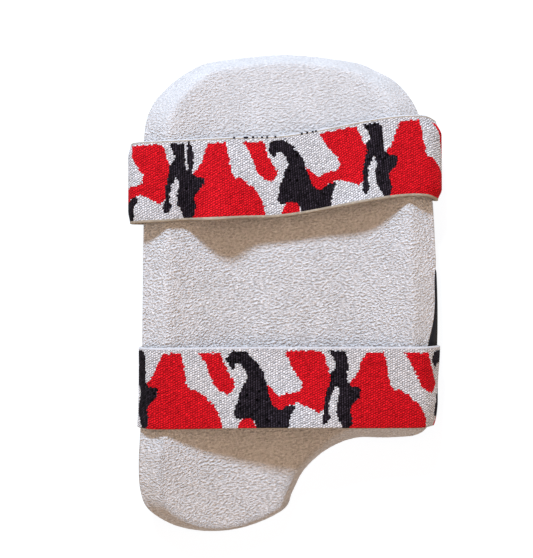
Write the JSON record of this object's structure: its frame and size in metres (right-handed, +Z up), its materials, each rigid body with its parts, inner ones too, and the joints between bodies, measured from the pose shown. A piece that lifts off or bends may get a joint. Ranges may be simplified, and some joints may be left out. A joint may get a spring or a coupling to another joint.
{
  "type": "cricket thigh guard",
  "caption": "Padded guard for the thigh, moulded to a shallow trough lined with towelling, with a lobed lower end and wide elastic straps that go round the leg.",
  "frame": {"origin": "middle of the box's underside, on the plane of the flat strip of the front that the guard lies on", "axes": "+X across the thigh, +Y along it from the lobed lower end to the rounded upper end, +Z up out of the trough, away from the front"},
  "size_m": [0.2054, 0.3202, 0.0493],
  "materials": {
    "towelling": "white cotton towelling with short loops",
    "cover_cloth": "plain black woven cloth",
    "strap_elastic": "knitted elastic in a red, black and white camouflage",
    "hook_and_loop": "black hook-and-loop tape"
  },
  "bodies": {
    "root": {"pad": "towelling", "front_cover": "cover_cloth", "upper_strap": "strap_elastic", "lower_strap": "strap_elastic", "upper_fastener": "hook_and_loop", "lower_fastener": "hook_and_loop"}
  },
  "joints": []
}
